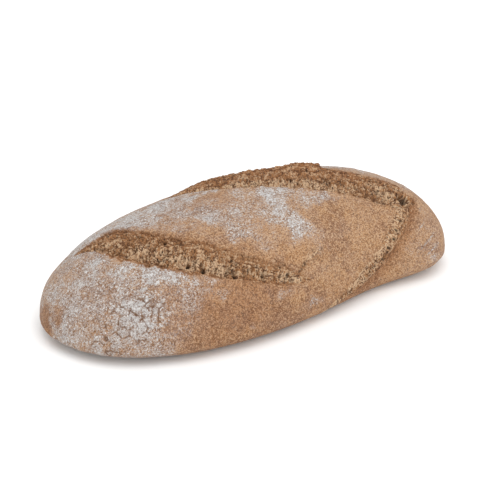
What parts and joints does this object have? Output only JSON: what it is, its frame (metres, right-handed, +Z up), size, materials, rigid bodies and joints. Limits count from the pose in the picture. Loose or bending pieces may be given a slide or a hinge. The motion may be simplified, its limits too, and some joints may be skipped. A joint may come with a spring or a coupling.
{
  "type": "hearth loaf",
  "caption": "Long oval free-form rustic loaf with a flat base, a floured crust, and diagonal slashes with torn crumb and raised ears.",
  "frame": {"origin": "middle of the flat base, on the surface that the loaf rests on", "axes": "+X along the loaf, +Z up; the slashes run from the back left to the front right, and the front is -Y"},
  "size_m": [0.2888, 0.1434, 0.0755],
  "materials": {
    "crust": "matt baked bread crust: fine grain with bran specks, dusted with white flour, light torn crumb and toasted ears in the slashes"
  },
  "bodies": {
    "root": {"loaf": "crust"}
  },
  "joints": []
}
